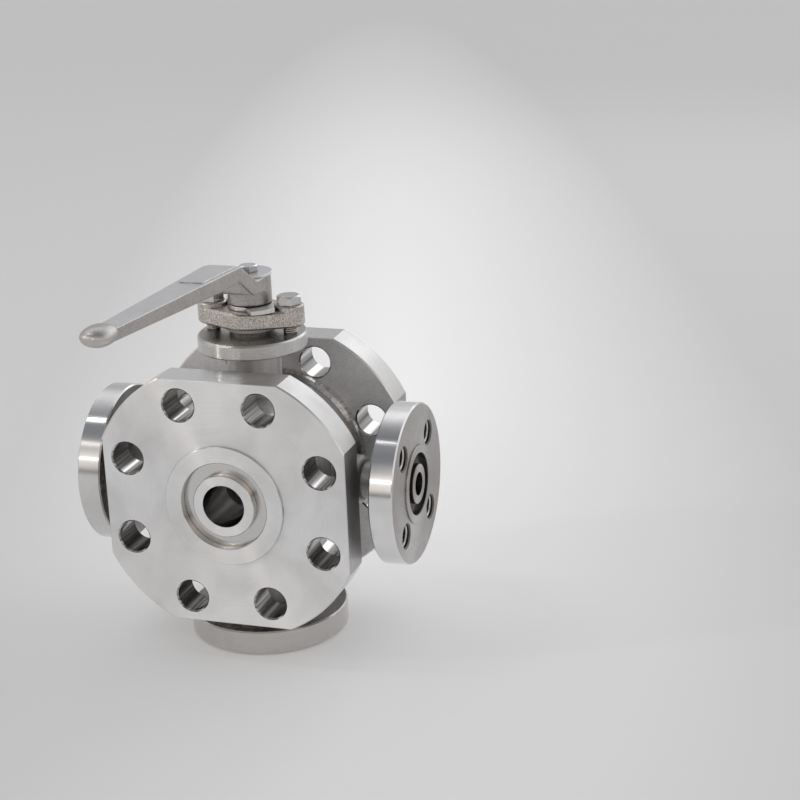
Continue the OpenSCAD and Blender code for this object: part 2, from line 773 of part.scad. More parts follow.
// Knob turned about the lever's length, then flattened
module knob() {
    translate([0, -lever_length, knob_z]) scale([1, 1, knob_h / knob_w]) rotate([90, 0, 0])
        rotate_extrude($fn = 36) polygon([for (t = [-90:10:90]) [
            knob_w / 2 * pow(cos(t), knob_fullness),
            knob_l / 2 * sign(t) * pow(abs(sin(t)), knob_fullness)]]);
}

module lever() {
    color([0.62, 0.61, 0.60]) at_ball() difference() {
        union() {
            translate([0, 0, hub_z]) cylinder(d = hub_d, h = hub_h);
            translate([0, 0, hub_foot_z]) cylinder(d = hub_foot_d, h = hub_foot_h + cut);
            in_arm_width(0) arm_side();
            in_arm_width(web_inset) web_side();
            in_arm_width(mark_inset) mark_side();
            knob();
        }
        in_arm_width(arm_rib) channel_side();
        translate([0, 0, hub_foot_z - cut])
            double_d(stem_r + fit_gap, stem_flats + 2 * fit_gap, hub_foot_h + hub_h + 2 * cut);
    }
}

module lever_washer() {
    color([0.74, 0.76, 0.78]) at_ball() translate([0, 0, hub_top])
        ring(lever_bolt_r + 0.3, washer_d / 2, washer_t);
}

module lever_bolt() {
    color([0.74, 0.76, 0.78]) at_ball() {
        translate([0, 0, washer_top]) hex_head(lever_bolt_af, lever_head_h);
        translate([0, 0, washer_top - lever_bolt_l]) cylinder(r = lever_bolt_r, h = lever_bolt_l + cut);
    }
}

valve_body();
jacket_shell();
body_insert();
insert_gasket();
front_seat();
rear_seat();
ball();
left_port_nipple();
right_port_nipple();
bottom_port_nipple();
left_port_flange();
right_port_flange();
bottom_port_flange();
stem();
stem_thrust_washer();
stem_o_ring();
packing_support_ring();
packing_rings();
gland_follower();
gland_flange();
gland_bolts();
stop_plate();
lever();
lever_washer();
lever_bolt();
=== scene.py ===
# Jacketed ball valve: finishes, threads, floor, light and camera.
# Metres, origin at the centre of the bottom port's face, Z up the stem, flow along Y.

import json
import math

import bmesh
import bpy
from mathutils import Matrix, Vector


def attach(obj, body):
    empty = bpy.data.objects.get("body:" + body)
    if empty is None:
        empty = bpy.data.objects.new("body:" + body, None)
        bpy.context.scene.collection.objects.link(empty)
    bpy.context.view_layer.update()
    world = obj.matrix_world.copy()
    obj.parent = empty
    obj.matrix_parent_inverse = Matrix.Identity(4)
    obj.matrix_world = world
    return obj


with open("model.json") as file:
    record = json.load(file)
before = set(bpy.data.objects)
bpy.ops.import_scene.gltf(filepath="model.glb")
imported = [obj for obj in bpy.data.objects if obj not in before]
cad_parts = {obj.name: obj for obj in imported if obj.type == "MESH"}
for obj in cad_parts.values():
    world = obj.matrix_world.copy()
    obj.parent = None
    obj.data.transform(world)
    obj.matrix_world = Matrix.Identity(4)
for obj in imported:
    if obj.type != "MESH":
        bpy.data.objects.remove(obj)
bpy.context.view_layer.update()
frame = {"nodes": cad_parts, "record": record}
nodes = frame["nodes"]

BALL_CENTRE = Vector((0.0, 0.0, 0.0985))
FLOW = Vector((0, 1, 0))
ACROSS = Vector((1, 0, 0))
UP = Vector((0, 0, 1))

# Places and radii on the solids. A place is measured from the ball centre.
CHAMBER_END = 0.0195
BORE_RADIUS = 0.0127
GROOVE_OUTER = 0.0262
MAIN_FLANGE_BACK = 0.0353
MAIN_FLANGE_FACE = 0.0566
MAIN_BOLTS = 8
MAIN_BOLT_CIRCLE = 0.0635
MAIN_HOLE_RADIUS = 0.0095
MAIN_HOLE_CHAMFER = 0.0008
SHELL_RADIUS = 0.0515
SHELL_RING_START = 0.0240
NECK_START = 0.0300
PAD_BOTTOM = 0.0784
PAD_TOP = 0.0873
PAD_RIM_START = 0.0300
GLAND_UNDERSIDE = 0.0924
GLAND_BOLT_PLACE = 0.0240
GLAND_BOLT_RADIUS = 0.0040
KNOB_START = -0.1770
PORT_BACK = 0.0832
PORT_FACE = 0.0975
PORT_RIM_START = 0.0450
PORT_RING_START = 0.0225
PORT_BOLT_CIRCLE = 0.03325
PORT_HOLE_CHAMFER = 0.0008
PORT_HOLE_RADIUS = 0.0070

# Threads: radius of the crest and pitch of each, and how far a ridge reaches into its wall
PORT_THREAD_CREST = 0.005917
PORT_THREAD_PITCH = 0.0020
GLAND_THREAD_CREST = 0.00425
GLAND_THREAD_PITCH = 0.00125
THREAD_OVERLAP = 0.00002

# Form of a ridge: half its width at the foot and at the crest, as shares of the pitch
RIDGE_FOOT_HALF = 0.4375
RIDGE_CREST_HALF = 0.125
RIDGE_STEPS_PER_TURN = 24
RIDGE_FADE_STEPS = 6

# Camera fitted to the photo's rims and corners: angles in degrees, focal length in pixels
CAMERA_AZIMUTH = 18.54
CAMERA_ELEVATION = 18.51
CAMERA_ROLL = -2.31
CAMERA_DISTANCE = 1.103
CAMERA_TO_THE_RIGHT = 0.0827
CAMERA_UPWARD = 0.0425
FOCAL_PIXELS = 1847
PHOTO_PIXELS = 800
SENSOR_WIDTH = 36


# Small helpers for building materials

QUARTER_TURN = 0.25    # with the tangent along the grooves, the gloss spreads across them


def feed(tree, socket, value):
    """Links an output to a socket, or sets a plain value on it."""
    if isinstance(value, bpy.types.NodeSocket):
        tree.links.new(value, socket)
    else:
        socket.default_value = value


def feed_all(tree, node, inputs):
    """Feeds the sockets of a node by name, with _ for a space."""
    for key, value in inputs.items():
        feed(tree, node.inputs[key.replace("_", " ")], value)
    return node


def add_node(tree, kind, **inputs):
    return feed_all(tree, tree.nodes.new(kind), inputs)


def math_node(tree, operation, a, b=0.0, clamp=False):
    node = tree.nodes.new("ShaderNodeMath")
    node.operation = operation
    node.use_clamp = clamp
    feed(tree, node.inputs[0], a)
    feed(tree, node.inputs[1], b)
    return node.outputs[0]


def vector_node(tree, operation, a, b=(0, 0, 0)):
    """Result of a vector operation. A length or a dot product is a number."""
    node = tree.nodes.new("ShaderNodeVectorMath")
    node.operation = operation
    feed(tree, node.inputs[0], a)
    feed(tree, node.inputs[1], b)
    return node.outputs["Value" if operation in ("LENGTH", "DOT_PRODUCT") else "Vector"]


def counted_in(tree, vector, size):
    """Coordinate that counts in steps of the given size."""
    node = tree.nodes.new("ShaderNodeVectorMath")
    node.operation = "SCALE"
    feed(tree, node.inputs[0], vector)
    feed(tree, node.inputs["Scale"], math_node(tree, "DIVIDE", 1.0, size))
    return node.outputs["Vector"]


def ramp_between(tree, value, low, high, to_low, to_high):
    """Carries the span low to high over to another one, and stops at its ends."""
    return add_node(tree, "ShaderNodeMapRange", Value=value, From_Min=low, From_Max=high,
                    To_Min=to_low, To_Max=to_high).outputs["Result"]


def mix_color(tree, factor, a, b):
    """Mixes two colours, each an output or three numbers.

    The node has sockets for other kinds of value under the same names, so they go by number.
    """
    node = tree.nodes.new("ShaderNodeMix")
    node.data_type = "RGBA"
    feed(tree, node.inputs[0], factor)
    for number, color in ((6, a), (7, b)):
        feed(tree, node.inputs[number], (*color, 1) if isinstance(color, tuple) else color)
    return node.outputs[2]


def noise(tree, dimensions="3D", **inputs):
    node = tree.nodes.new("ShaderNodeTexNoise")
    node.noise_dimensions = dimensions
    return feed_all(tree, node, inputs).outputs[0]


def raised(tree, height, depth, **inputs):
    """Normal of a surface whose height differs by up to the given depth."""
    return add_node(tree, "ShaderNodeBump", Strength=1.0, Distance=depth, Height=height,
                    **inputs).outputs["Normal"]


def surface_normal(tree):
    return tree.nodes.new("ShaderNodeNewGeometry").outputs["Normal"]


def object_place(tree, centre=(0, 0, 0)):
    coordinate = tree.nodes.new("ShaderNodeTexCoord").outputs["Object"]
    return vector_node(tree, "SUBTRACT", coordinate, centre)


def new_material(name, color, metallic, roughness, anisotropy=0.0):
    """Material with one Principled shader; fixed numbers go on its own sockets."""
    material = bpy.data.materials.new(name)
    material.use_nodes = True
    shader = material.node_tree.nodes["Principled BSDF"]
    shader.inputs["Base Color"].default_value = (*color, 1)
    shader.inputs["Metallic"].default_value = metallic
    shader.inputs["Roughness"].default_value = roughness
    shader.inputs["Anisotropic"].default_value = anisotropy
    shader.inputs["Anisotropic Rotation"].default_value = QUARTER_TURN
    return material, shader, material.node_tree


def new_group(name, inputs, outputs):
    """Shader node group with named sockets, ready to be filled."""
    group = bpy.data.node_groups.new(name, "ShaderNodeTree")
    for socket_name, kind, default in inputs:
        socket = group.interface.new_socket(socket_name, in_out="INPUT", socket_type=kind)
        socket.default_value = default
    for socket_name, kind in outputs:
        group.interface.new_socket(socket_name, in_out="OUTPUT", socket_type=kind)
    source = group.nodes.new("NodeGroupInput")
    target = group.nodes.new("NodeGroupOutput")
    return group, source.outputs, target.inputs


def use_group(tree, group, **inputs):
    node = tree.nodes.new("ShaderNodeGroup")
    node.node_tree = group
    return feed_all(tree, node, inputs).outputs


# Effects shared by several finishes

def build_tool_marks():
    """Fine grooves left by a lathe tool: random lines across one coordinate."""
    group, source, target = new_group(
        "tool_marks",
        [("Across", "NodeSocketFloat", 0.0), ("Pitch", "NodeSocketFloat", 0.0003),
         ("Uneven", "NodeSocketFloat", 0.5)],
        [("Height", "NodeSocketFloat"), ("Streak", "NodeSocketFloat")])
    turns = math_node(group, "DIVIDE", source["Across"], source["Pitch"])
    fine = noise(group, "1D", W=turns, Scale=1.0, Detail=2.0)
    slow_turns = math_node(group, "MULTIPLY", turns, 0.35)
    slow = noise(group, "1D", W=slow_turns, Scale=1.0, Detail=2.0)
    slow_part = math_node(group, "MULTIPLY", slow, source["Uneven"])
    feed(group, target["Height"], math_node(group, "ADD", fine, slow_part))
    feed(group, target["Streak"], slow)
    return group


def build_cast_skin():
    """Shot-blasted or sand-cast skin: small pits, grains and cloudy tone."""
    group, source, target = new_group(
        "cast_skin",
        [("Vector", "NodeSocketVector", (0, 0, 0)), ("Grain", "NodeSocketFloat", 0.0008)],
        [("Height", "NodeSocketFloat"), ("Tone", "NodeSocketFloat"),
         ("Speckle", "NodeSocketFloat")])
    place = counted_in(group, source["Vector"], source["Grain"])
    grains = noise(group, Vector=place, Scale=0.6, Detail=4.0, Roughness=0.62)
    wide = noise(group, Vector=place, Scale=0.07, Detail=3.0, Roughness=0.55)
    cells = add_node(group, "ShaderNodeTexVoronoi", Vector=place, Scale=1.1)
    pits = ramp_between(group, cells.outputs["Distance"], 0.0, 0.45, 0.0, 1.0)
    rough = math_node(group, "MULTIPLY", grains, 0.7)
    pitted = math_node(group, "MULTIPLY", pits, 0.4)
    feed(group, target["Height"], math_node(group, "ADD", rough, pitted))
    feed(group, target["Tone"], wide)
    feed(group, target["Speckle"], ramp_between(group, grains, 0.35, 0.65, 0.0, 1.0))
    return group


def build_handling():
    """Smudges of hands and oil: soft cloudy patches."""
    group, source, target = new_group(
        "handling",
        [("Vector", "NodeSocketVector", (0, 0, 0)), ("Size", "NodeSocketFloat", 0.03)],
        [("Smudge", "NodeSocketFloat")])
    place = counted_in(group, source["Vector"], source["Size"])
    cloud = noise(group, Vector=place, Scale=1.0, Detail=5.0, Roughness=0.6, Distortion=0.6)
    feed(group, target["Smudge"], ramp_between(group, cloud, 0.42, 0.72, 0.0, 1.0))
    return group


def build_worn_edges():
    """Rounds the shading over sharp edges and masks a narrow strip along them."""
    group, source, target = new_group(
        "worn_edges",
        [("Radius", "NodeSocketFloat", 0.0005)],
        [("Normal", "NodeSocketVector"), ("Edge", "NodeSocketFloat")])
    bevel = add_node(group, "ShaderNodeBevel", Radius=source["Radius"])
    bevel.samples = 6
    rounded = bevel.outputs["Normal"]
    agreement = vector_node(group, "DOT_PRODUCT", rounded, surface_normal(group))
    feed(group, target["Normal"], rounded)
    feed(group, target["Edge"], ramp_between(group, agreement, 0.995, 0.80, 0.0, 1.0))
    return group


def build_crevice_grime_and_shade():
    """Mask of the darkening in corners and under edges: partly dirt and oil, partly painted
    shade.
    """
    group, source, target = new_group(
        "crevice_grime_and_shade",
        [("Reach", "NodeSocketFloat", 0.002), ("Vector", "NodeSocketVector", (0, 0, 0))],
        [("Grime_and_shade", "NodeSocketFloat")])
    # occlusion darkens corners, hollows and gaps between parts: painted shade, with some dirt
    hollow = add_node(group, "ShaderNodeAmbientOcclusion", Distance=source["Reach"])
    hollow.samples = 6
    depth = ramp_between(group, hollow.outputs["AO"], 0.80, 0.35, 0.0, 1.0)
    patchy = noise(group, Vector=source["Vector"], Scale=260.0, Detail=3.0)
    patches = ramp_between(group, patchy, 0.3, 0.6, 0.45, 1.0)
    feed(group, target["Grime_and_shade"], math_node(group, "MULTIPLY", depth, patches))
    return group


TOOL_MARKS = build_tool_marks()
CAST_SKIN = build_cast_skin()
HANDLING = build_handling()
WORN_EDGES = build_worn_edges()
CREVICE_GRIME_AND_SHADE = build_crevice_grime_and_shade()

# colour of the darkening in corners: dirt, and painted shade
GRIME_AND_SHADE_COLOR = (0.05, 0.042, 0.035)
TOOL_UNEVENNESS = 0.6
TURNED_SMUDGE_SIZE = 0.028
TURNED_STREAK_TONE = 0.25
TURNED_STREAK_GLOSS = 0.25
CAST_SMUDGE_SIZE = 0.035
CAST_SMUDGE_GLOSS = -0.10
CAST_SPECKLE_GLOSS = -0.08
CAST_MATTNESS = 0.06


def darkened(color, share):
    return tuple(c * share for c in color)


def soiled_and_shaded(tree, tone, place, amount, reach):
    """Darkens a colour in its corners, as dirt and as painted shade; unchanged where the amount
    is nought.
    """
    if not amount:
        return tone
    dirt_and_shade = use_group(tree, CREVICE_GRIME_AND_SHADE, Reach=reach, Vector=place)["Grime_and_shade"]
    return mix_color(tree, math_node(tree, "MULTIPLY", dirt_and_shade, amount), tone, GRIME_AND_SHADE_COLOR)


# Kinds of finish

def turned_steel(name, color, roughness, anisotropy, axis=FLOW, across="length",
                 pitch=0.0003, depth=6e-6, smudge=0.06, dark=0.82, cloud=0.4,
                 grime_and_shade=0.0, reach=0.0012):
    """Steel cut on a lathe. The gloss spreads across the grooves, which run round the axis.

    The tool moved along the radius on a flat face, and along the length on a round wall.
    """
    material, shader, tree = new_material(name, color, 1.0, roughness, anisotropy)
    place = object_place(tree, BALL_CENTRE)
    if across == "radius":
        groove = vector_node(tree, "CROSS_PRODUCT", axis, place)
        coordinate = vector_node(tree, "LENGTH", groove)
    else:
        groove = vector_node(tree, "CROSS_PRODUCT", axis, surface_normal(tree))
        coordinate = vector_node(tree, "DOT_PRODUCT", axis, place)
    if anisotropy:
        feed(tree, shader.inputs["Tangent"], vector_node(tree, "NORMALIZE", groove))
    marks = use_group(tree, TOOL_MARKS, Across=coordinate, Pitch=pitch, Uneven=TOOL_UNEVENNESS)
    smudges = use_group(tree, HANDLING, Vector=place, Size=TURNED_SMUDGE_SIZE)["Smudge"]
    feed(tree, shader.inputs["Normal"], raised(tree, marks["Height"], depth))

    around = math_node(tree, "SUBTRACT", marks["Streak"], 0.5)
    streak = math_node(tree, "MULTIPLY", around, roughness * TURNED_STREAK_GLOSS)
    matt = math_node(tree, "MULTIPLY", smudges, smudge)
    uneven = math_node(tree, "ADD", streak, matt)
    feed(tree, shader.inputs["Roughness"], math_node(tree, "ADD", uneven, roughness, clamp=True))

    darker = darkened(color, dark)
    shade = ramp_between(tree, marks["Streak"], 0.3, 0.75, 0.0, TURNED_STREAK_TONE)
    tone = mix_color(tree, shade, color, darker)
    tone = mix_color(tree, math_node(tree, "MULTIPLY", smudges, cloud), tone, darker)
    feed(tree, shader.inputs["Base Color"], soiled_and_shaded(tree, tone, place, grime_and_shade, reach))
    return material


def cast_steel(name, light, dark, roughness, grain, depth, metallic=1.0, speckle=0.5, patch=0.5,
               edge=0.0004, wear=0.5, worn=(0.80, 0.79, 0.78), grime_and_shade=0.0, reach=0.003):
    """Rough steel skin, blasted, sand cast or investment cast, rubbed bright along its edges."""
    material, shader, tree = new_material(name, light, metallic, roughness)
    place = object_place(tree)
    skin = use_group(tree, CAST_SKIN, Vector=place, Grain=grain)
    smudges = use_group(tree, HANDLING, Vector=place, Size=CAST_SMUDGE_SIZE)["Smudge"]
    edges = use_group(tree, WORN_EDGES, Radius=edge)
    feed(tree, shader.inputs["Normal"],
         raised(tree, skin["Height"], depth, Normal=edges["Normal"]))

    cloud = ramp_between(tree, skin["Tone"], 0.3, 0.7, 0.0, patch)
    spots = math_node(tree, "MULTIPLY", skin["Speckle"], speckle)
    cast = mix_color(tree, math_node(tree, "ADD", cloud, spots, clamp=True), dark, light)
    rubbed = mix_color(tree, math_node(tree, "MULTIPLY", edges["Edge"], wear), cast, worn)
    feed(tree, shader.inputs["Base Color"], soiled_and_shaded(tree, rubbed, place, grime_and_shade, reach))

    greasy = math_node(tree, "MULTIPLY", smudges, CAST_SMUDGE_GLOSS)
    grainy = math_node(tree, "MULTIPLY", skin["Speckle"], CAST_SPECKLE_GLOSS)
    uneven = math_node(tree, "ADD", greasy, grainy)
    feed(tree, shader.inputs["Roughness"],
         math_node(tree, "ADD", uneven, roughness + CAST_MATTNESS, clamp=True))
    return material


def drilled_steel(name, color, dark, roughness):
    """Walls of the main flanges' holes, with streaks that run along each hole: painted
    reflections in the colour, and stripes of roughness.
    """
    material, shader, tree = new_material(name, color, 1.0, roughness, 0.7)
    place = object_place(tree, BALL_CENTRE)
    axes = add_node(tree, "ShaderNodeSeparateXYZ", Vector=place).outputs
    spacing = 2 * math.pi / MAIN_BOLTS
    turn = math_node(tree, "ARCTAN2", axes["Z"], axes["X"])
    hole = math_node(tree, "FLOOR", math_node(tree, "DIVIDE", turn, spacing))
    angle = math_node(tree, "MULTIPLY", math_node(tree, "ADD", hole, 0.5), spacing)
    centre_x = math_node(tree, "MULTIPLY", math_node(tree, "COSINE", angle), MAIN_BOLT_CIRCLE)
    centre_z = math_node(tree, "MULTIPLY", math_node(tree, "SINE", angle), MAIN_BOLT_CIRCLE)
    local = add_node(tree, "ShaderNodeCombineXYZ",
                     X=math_node(tree, "SUBTRACT", axes["X"], centre_x),
                     Y=math_node(tree, "MULTIPLY", axes["Y"], 0.02),
                     Z=math_node(tree, "SUBTRACT", axes["Z"], centre_z)).outputs["Vector"]
    reflection_streaks = noise(tree, Vector=local, Scale=190.0, Detail=3.0, Roughness=0.65)
    shade = ramp_between(tree, reflection_streaks, 0.38, 0.62, 0.0, 1.0)
    gloss = ramp_between(tree, reflection_streaks, 0.3, 0.7, roughness + 0.1, roughness - 0.04)
    groove = vector_node(tree, "CROSS_PRODUCT", FLOW, surface_normal(tree))
    marks = use_group(tree, TOOL_MARKS, Across=axes["Y"], Pitch=0.0005, Uneven=TOOL_UNEVENNESS)
    feed(tree, shader.inputs["Base Color"], mix_color(tree, shade, dark, color))
    feed(tree, shader.inputs["Roughness"], gloss)
    feed(tree, shader.inputs["Tangent"], vector_node(tree, "NORMALIZE", groove))
    feed(tree, shader.inputs["Normal"], raised(tree, marks["Height"], 2e-6))
    return material


def ground_steel(name, color, dark, roughness):
    """Cleaned with a grinding disc: short strokes along the flow, in patches round the drum."""
    material, shader, tree = new_material(name, color, 1.0, roughness, 0.6)
    place = object_place(tree, BALL_CENTRE)
    squeezed = vector_node(tree, "MULTIPLY", place, (1.0, 0.2, 1.0))
    strokes = noise(tree, Vector=squeezed, Scale=560.0, Detail=3.0, Roughness=0.6)
    patches = noise(tree, Vector=place, Scale=70.0, Detail=2.0)
    shade = math_node(tree, "ADD", ramp_between(tree, strokes, 0.35, 0.65, 0.0, 0.6),
                      ramp_between(tree, patches, 0.35, 0.65, 0.0, 0.4), clamp=True)
    gloss = ramp_between(tree, strokes, 0.3, 0.7, roughness + 0.08, roughness - 0.08)
    feed(tree, shader.inputs["Base Color"], mix_color(tree, shade, dark, color))
    feed(tree, shader.inputs["Roughness"], gloss)
    feed(tree, shader.inputs["Normal"], raised(tree, strokes, 2e-5))
    return material


def soft_seal(name, color, roughness, variation):
    """Pressed plastic, rubber or graphite."""
    material, shader, tree = new_material(name, color, 0.0, roughness)
    skin = use_group(tree, CAST_SKIN, Vector=object_place(tree), Grain=0.0005)
    gloss = ramp_between(tree, skin["Speckle"], 0, 1, roughness - 0.06, roughness + 0.06)
    feed(tree, shader.inputs["Base Color"],
         mix_color(tree, skin["Tone"], darkened(color, 1 - variation), color))
    feed(tree, shader.inputs["Roughness"], gloss)
    feed(tree, shader.inputs["Normal"], raised(tree, skin["Height"], 1e-5))
    return material


# Finishes of this valve. Those that a material slot of the record names keep its name.

# the main faces get a lighter copy of the rims' steel, as painted light
FACE_STEEL = (0.835, 0.83, 0.828)
RIM_STEEL = (0.67, 0.665, 0.66)

TURNED_FINISHES = {
    "turned_face": dict(color=FACE_STEEL, roughness=0.37, anisotropy=0.93, across="radius",
                        depth=8e-7, smudge=0.12, cloud=0.5, dark=0.84, grime_and_shade=0.5,
                        reach=0.0006),
    "turned_rim": dict(color=RIM_STEEL, roughness=0.28, anisotropy=0.95, depth=6e-7),
    "groove_wall": dict(color=(0.56, 0.53, 0.50), roughness=0.16, anisotropy=0.6, depth=1e-6,
                        grime_and_shade=0.8),
    "groove_floor": dict(color=(0.62, 0.615, 0.61), roughness=0.16, anisotropy=0.5,
                         across="radius", depth=5e-7, grime_and_shade=0.8),
    # the bore is painted dark and the milled flats darker than the rims' steel, as painted shade
    "bore_wall": dict(color=(0.26, 0.25, 0.245), roughness=0.22, anisotropy=0.5, depth=8e-7),
    "milled_side": dict(color=(0.42, 0.41, 0.405), roughness=0.28, anisotropy=0.8,
                        pitch=0.0008, depth=2e-6, grime_and_shade=0.3),
    "pad_rim": dict(color=(0.60, 0.59, 0.58), roughness=0.26, anisotropy=1.0, axis=UP,
                    depth=6e-7),
    "pad_top": dict(color=(0.50, 0.485, 0.47), roughness=0.24, anisotropy=0.5, axis=UP,
                    across="radius", smudge=0.15, cloud=0.8, dark=0.6, grime_and_shade=0.6),
    "neck": dict(color=(0.52, 0.51, 0.50), roughness=0.40, anisotropy=0.3, axis=UP,
                 pitch=0.0006, grime_and_shade=0.5),
    "polished_steel": dict(color=(0.80, 0.80, 0.79), roughness=0.10, anisotropy=0.0,
                           depth=1e-6, smudge=0.05),
    "stem_steel": dict(color=(0.66, 0.65, 0.63), roughness=0.28, anisotropy=0.0, axis=UP),
}
# each port's rim gets its own tone and gloss of one steel, as painted light and shade: the right
# rim lighter, the bottom rim darker
for key, axis, rim_color, rim_roughness in (
        ("left", ACROSS, RIM_STEEL, 0.24),
        ("right", ACROSS, (0.74, 0.735, 0.735), 0.19),
        ("bottom", UP, (0.52, 0.50, 0.488), 0.24)):
    # the ports' faces: a darker copy of the steel than the main faces, as a painted dark
    # reflection
    TURNED_FINISHES[key + "_port_face"] = dict(
        color=(0.42, 0.402, 0.39), roughness=0.25, anisotropy=1.0, axis=axis, across="radius",
        depth=8e-7, smudge=0.1, cloud=0.7, grime_and_shade=0.8)
    TURNED_FINISHES[key + "_port_rim"] = dict(
        color=rim_color, roughness=rim_roughness, anisotropy=0.95, axis=axis, depth=5e-7)
    # the holes' walls are painted nearly black, as shade inside the holes and between the
    # thread's ridges
    TURNED_FINISHES[key + "_port_hole"] = dict(
        color=(0.14, 0.13, 0.12), roughness=0.28, anisotropy=0.4, axis=axis)

CAST_FINISHES = {
    "blasted": dict(light=(0.90, 0.89, 0.90), dark=(0.68, 0.67, 0.68), roughness=0.52,
                    grain=0.0007, depth=4e-5, grime_and_shade=0.5),
    # the drum darkens far into its corners beside the flanges, as painted shade
    "cast_steel": dict(light=(0.54, 0.53, 0.52), dark=(0.37, 0.36, 0.35), roughness=0.5,
                       grain=0.0008, depth=5e-5, grime_and_shade=0.75, reach=0.012),
    "sand_cast_steel": dict(light=(0.76, 0.71, 0.675), dark=(0.24, 0.215, 0.19),
                            roughness=0.38, grain=0.00052, depth=1e-4, speckle=0.85,
                            patch=0.2, edge=0.0007, wear=0.6, grime_and_shade=0.8, reach=0.0016),
    # foot under the gland flange: a paler, non-metal copy of its skin, as painted light in the
    # flange's shade
    "sand_cast_foot": dict(light=(0.95, 0.89, 0.83), dark=(0.46, 0.42, 0.38), roughness=0.45,
                           grain=0.00052, depth=1e-4, metallic=0.0, speckle=0.85, patch=0.2,
                           edge=0.0005, wear=0.5, grime_and_shade=0.3, reach=0.0006),
    "lever_casting": dict(light=(0.52, 0.495, 0.478), dark=(0.33, 0.312, 0.30),
                          roughness=0.42, grain=0.0007, depth=4e-5, speckle=0.6, patch=0.35,
                          edge=0.0011, wear=0.8, grime_and_shade=0.8),
    "lever_knob": dict(light=(0.55, 0.533, 0.52), dark=(0.42, 0.40, 0.385), roughness=0.40,
                       grain=0.0007, depth=4e-5, wear=0.2, grime_and_shade=0.3),
    # upper side of the lever: a lighter copy of its finish, as painted light from above
    "lever_rubbed": dict(light=(0.70, 0.70, 0.71), dark=(0.58, 0.58, 0.59), roughness=0.40,
                         grain=0.0007, depth=4e-5, patch=0.4, edge=0.0007, wear=0.4,
                         grime_and_shade=0.8),
    # the port's back darkens far into the gap beside the main flange, as painted shade
    "port_back": dict(light=(0.46, 0.448, 0.44), dark=(0.34, 0.328, 0.32), roughness=0.45,
                      grain=0.0007, depth=4e-5, grime_and_shade=0.95, reach=0.04),
    "blasted_plate": dict(light=(0.80, 0.79, 0.78), dark=(0.62, 0.61, 0.59), roughness=0.32,
                          grain=0.0008, depth=3e-5, edge=0.0005, wear=0.8,
                          worn=(0.92, 0.91, 0.90), grime_and_shade=0.9),
    "bolt_steel": dict(light=(0.68, 0.67, 0.66), dark=(0.52, 0.51, 0.50), roughness=0.24,
                       grain=0.0016, depth=6e-6, speckle=0.3, patch=0.4, wear=0.9,
                       worn=(0.90, 0.89, 0.88), grime_and_shade=0.9),
    "zinc_plate": dict(light=(0.80, 0.82, 0.84), dark=(0.66, 0.68, 0.70), roughness=0.20,
                       grain=0.0018, depth=1.2e-6, speckle=0.2, edge=0.0003, wear=0.8,
                       worn=(0.92, 0.94, 0.96), grime_and_shade=0.8),
    # the bolt head's flanks: a darker copy of the plating, as painted shade
    "zinc_flank": dict(light=(0.46, 0.47, 0.48), dark=(0.34, 0.345, 0.35), roughness=0.18,
                       grain=0.0018, depth=1.2e-6, speckle=0.2, edge=0.0003, wear=0.9,
                       worn=(0.92, 0.94, 0.96), grime_and_shade=0.8),
    # shank between the thread's ridges: painted dark, as shade in the thread's roots
    "thread_root": dict(light=(0.26, 0.24, 0.22), dark=(0.16, 0.15, 0.14), roughness=0.30,
                        grain=0.0010, depth=1e-5, wear=0.0, grime_and_shade=0.8),
    "cut_thread": dict(light=(0.60, 0.58, 0.56), dark=(0.45, 0.43, 0.41), roughness=0.14,
                       grain=0.0015, depth=1e-6, edge=0.0003, wear=1.0,
                       worn=(0.96, 0.94, 0.91), grime_and_shade=1.0, reach=0.0012),
    "graphite_smeared_steel": dict(light=(0.22, 0.21, 0.20), dark=(0.06, 0.06, 0.06),
                                   roughness=0.4, grain=0.001, depth=3e-5, metallic=0.8),
}

SEAL_FINISHES = {
    "filled_ptfe": dict(color=(0.10, 0.10, 0.105), roughness=0.45, variation=0.3),
    "white_ptfe": dict(color=(0.82, 0.82, 0.80), roughness=0.45, variation=0.08),
    "black_rubber": dict(color=(0.02, 0.02, 0.02), roughness=0.5, variation=0.3),
    "graphite": dict(color=(0.035, 0.035, 0.037), roughness=0.38, variation=0.4),
}

finishes = {
    "drilled_hole": drilled_steel("drilled_hole", color=(0.66, 0.65, 0.645),
                                  dark=(0.15, 0.145, 0.14), roughness=0.18),
    "ground_band": ground_steel("ground_band", color=(0.80, 0.78, 0.765),
                                dark=(0.26, 0.25, 0.24), roughness=0.38),
}
for build, table in ((turned_steel, TURNED_FINISHES), (cast_steel, CAST_FINISHES),
                     (soft_seal, SEAL_FINISHES)):
    for name, look in table.items():
        finishes[name] = build(name, **look)


# Which finish each face of a carried-over node gets. A rule is given the middle of the face,
# from the ball centre, and its normal.

HAIR = 0.0002            # within this of a plane or wall, a face counts as on it
STEP = 0.0010            # beyond this, it counts as clear of it
LOOKS_ALONG = 0.9        # least part of a normal along an axis, for a face across that axis
LOOKS_SQUARE = 0.999     # the same for a milled flat, beside turned faces nearly as square
LEVER_TOP_LOOKS = 0.75   # the same for the upper side of the lever
BOLT_TOP_LOOKS = 0.5     # the same for a flat face of a bolt, beside its flanks and shank


def seal_finish(place, normal):
    """Bore, groove and the ring between them, at either end of the flow."""
    if math.hypot(place.x, place.z) < BORE_RADIUS + HAIR:
        return "bore_wall"
    if abs(normal.y) > LOOKS_ALONG:
        return "turned_face" if abs(place.y) > MAIN_FLANGE_FACE else "groove_floor"
    return "groove_wall"


